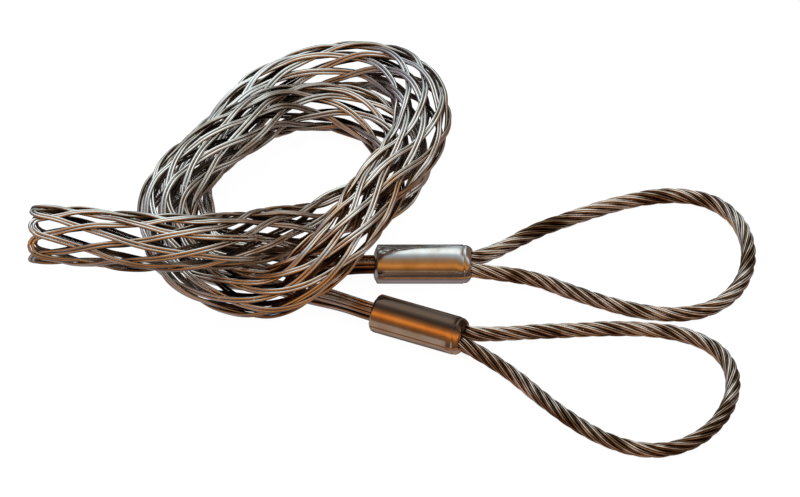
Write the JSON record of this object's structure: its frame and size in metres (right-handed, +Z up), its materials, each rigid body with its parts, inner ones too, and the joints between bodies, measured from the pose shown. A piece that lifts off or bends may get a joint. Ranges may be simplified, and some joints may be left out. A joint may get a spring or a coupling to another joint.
{
  "type": "cable pulling grip",
  "caption": "Woven steel wire sock, coiled and lying flat, that grips a cable put into its mouth and is pulled by wire rope eyes crimped to its two legs.",
  "frame": {"origin": "middle of the grip's box, on the surface it lies on", "axes": "+X from the sock's open mouth towards the rope eyes, +Y away from the viewer of the picture, +Z up"},
  "size_m": [0.3648, 0.2744, 0.0728],
  "materials": {
    "galvanised_wire": "bright galvanised steel wire",
    "wire_rope": "laid galvanised wire rope, lightly oiled",
    "crimped_aluminium": "pressed aluminium, polished by the dies"
  },
  "bodies": {
    "root": {"mesh_wire_01": "galvanised_wire", "mesh_wire_02": "galvanised_wire", "mesh_wire_03": "galvanised_wire", "mesh_wire_04": "galvanised_wire", "mesh_wire_05": "galvanised_wire", "mesh_wire_06": "galvanised_wire", "mesh_wire_07": "galvanised_wire", "mesh_wire_08": "galvanised_wire", "mesh_wire_09": "galvanised_wire", "mesh_wire_10": "galvanised_wire", "mesh_wire_11": "galvanised_wire", "mesh_wire_12": "galvanised_wire", "mesh_wire_13": "galvanised_wire", "mesh_wire_14": "galvanised_wire", "mesh_wire_15": "galvanised_wire", "mesh_wire_16": "galvanised_wire", "upper_crimp_sleeve": "crimped_aluminium", "lower_crimp_sleeve": "crimped_aluminium", "upper_eye_rope": "wire_rope", "lower_eye_rope": "wire_rope"}
  },
  "joints": []
}
